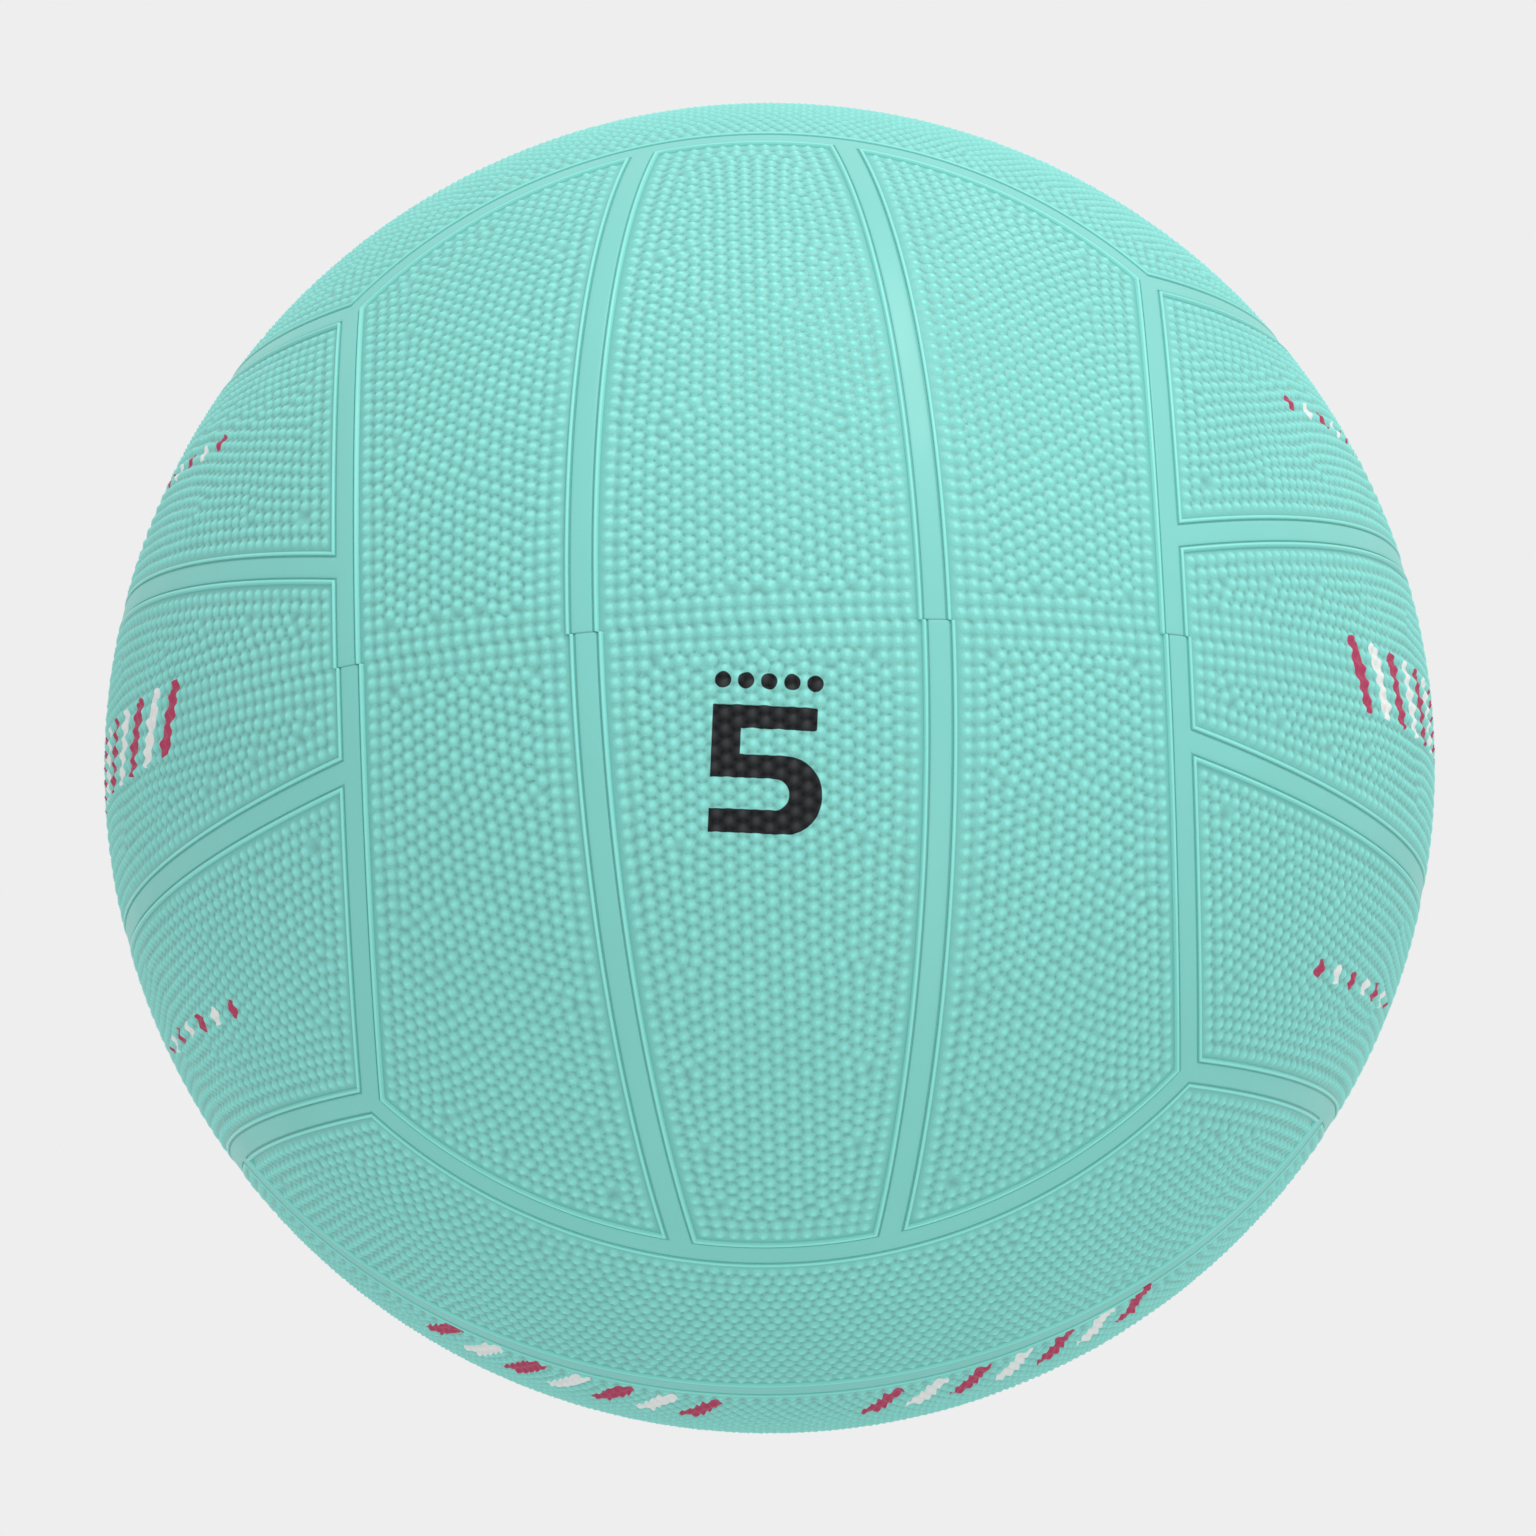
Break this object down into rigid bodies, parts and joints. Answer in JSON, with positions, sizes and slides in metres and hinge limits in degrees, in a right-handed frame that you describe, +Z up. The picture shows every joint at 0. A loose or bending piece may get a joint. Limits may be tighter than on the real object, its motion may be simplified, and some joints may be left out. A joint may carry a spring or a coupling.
{
  "type": "netball",
  "caption": "Hollow wound rubber netball with pebbled strip panels inlaid between smooth seam ribs, an inner bladder, and a pull-out needle valve plug at the top.",
  "frame": {"origin": "centre of the ball", "axes": "+Z up through the valve, -Y through the middle of the front face that carries the size numeral, +X to the right as seen from the front"},
  "size_m": [0.2228, 0.2228, 0.2227],
  "materials": {
    "panel_rubber": "satin",
    "rib_rubber": "satin",
    "nylon_thread": "satin",
    "butyl_rubber": "matte",
    "boot_rubber": "satin",
    "plug_rubber": "satin"
  },
  "bodies": {
    "ball": {"front_left_panel": "panel_rubber", "front_middle_panel": "panel_rubber", "front_right_panel": "panel_rubber", "back_left_panel": "panel_rubber", "back_middle_panel": "panel_rubber", "back_right_panel": "panel_rubber", "left_lower_panel": "panel_rubber", "left_middle_panel": "panel_rubber", "left_upper_panel": "panel_rubber", "right_lower_panel": "panel_rubber", "right_middle_panel": "panel_rubber", "right_upper_panel": "panel_rubber", "top_front_panel": "panel_rubber", "top_middle_panel": "panel_rubber", "top_back_panel": "panel_rubber", "bottom_front_panel": "panel_rubber", "bottom_middle_panel": "panel_rubber", "bottom_back_panel": "panel_rubber", "ribbed_carcass": "rib_rubber", "thread_winding": "nylon_thread", "bladder": "butyl_rubber", "valve_boot": "boot_rubber"},
    "plug": {"valve_plug": "plug_rubber"}
  },
  "joints": [
    {"name": "plug_pull", "type": "slide", "parent": "ball", "child": "plug", "axis": [0, 0, 1], "range_m": [0, 0.018]}
  ]
}
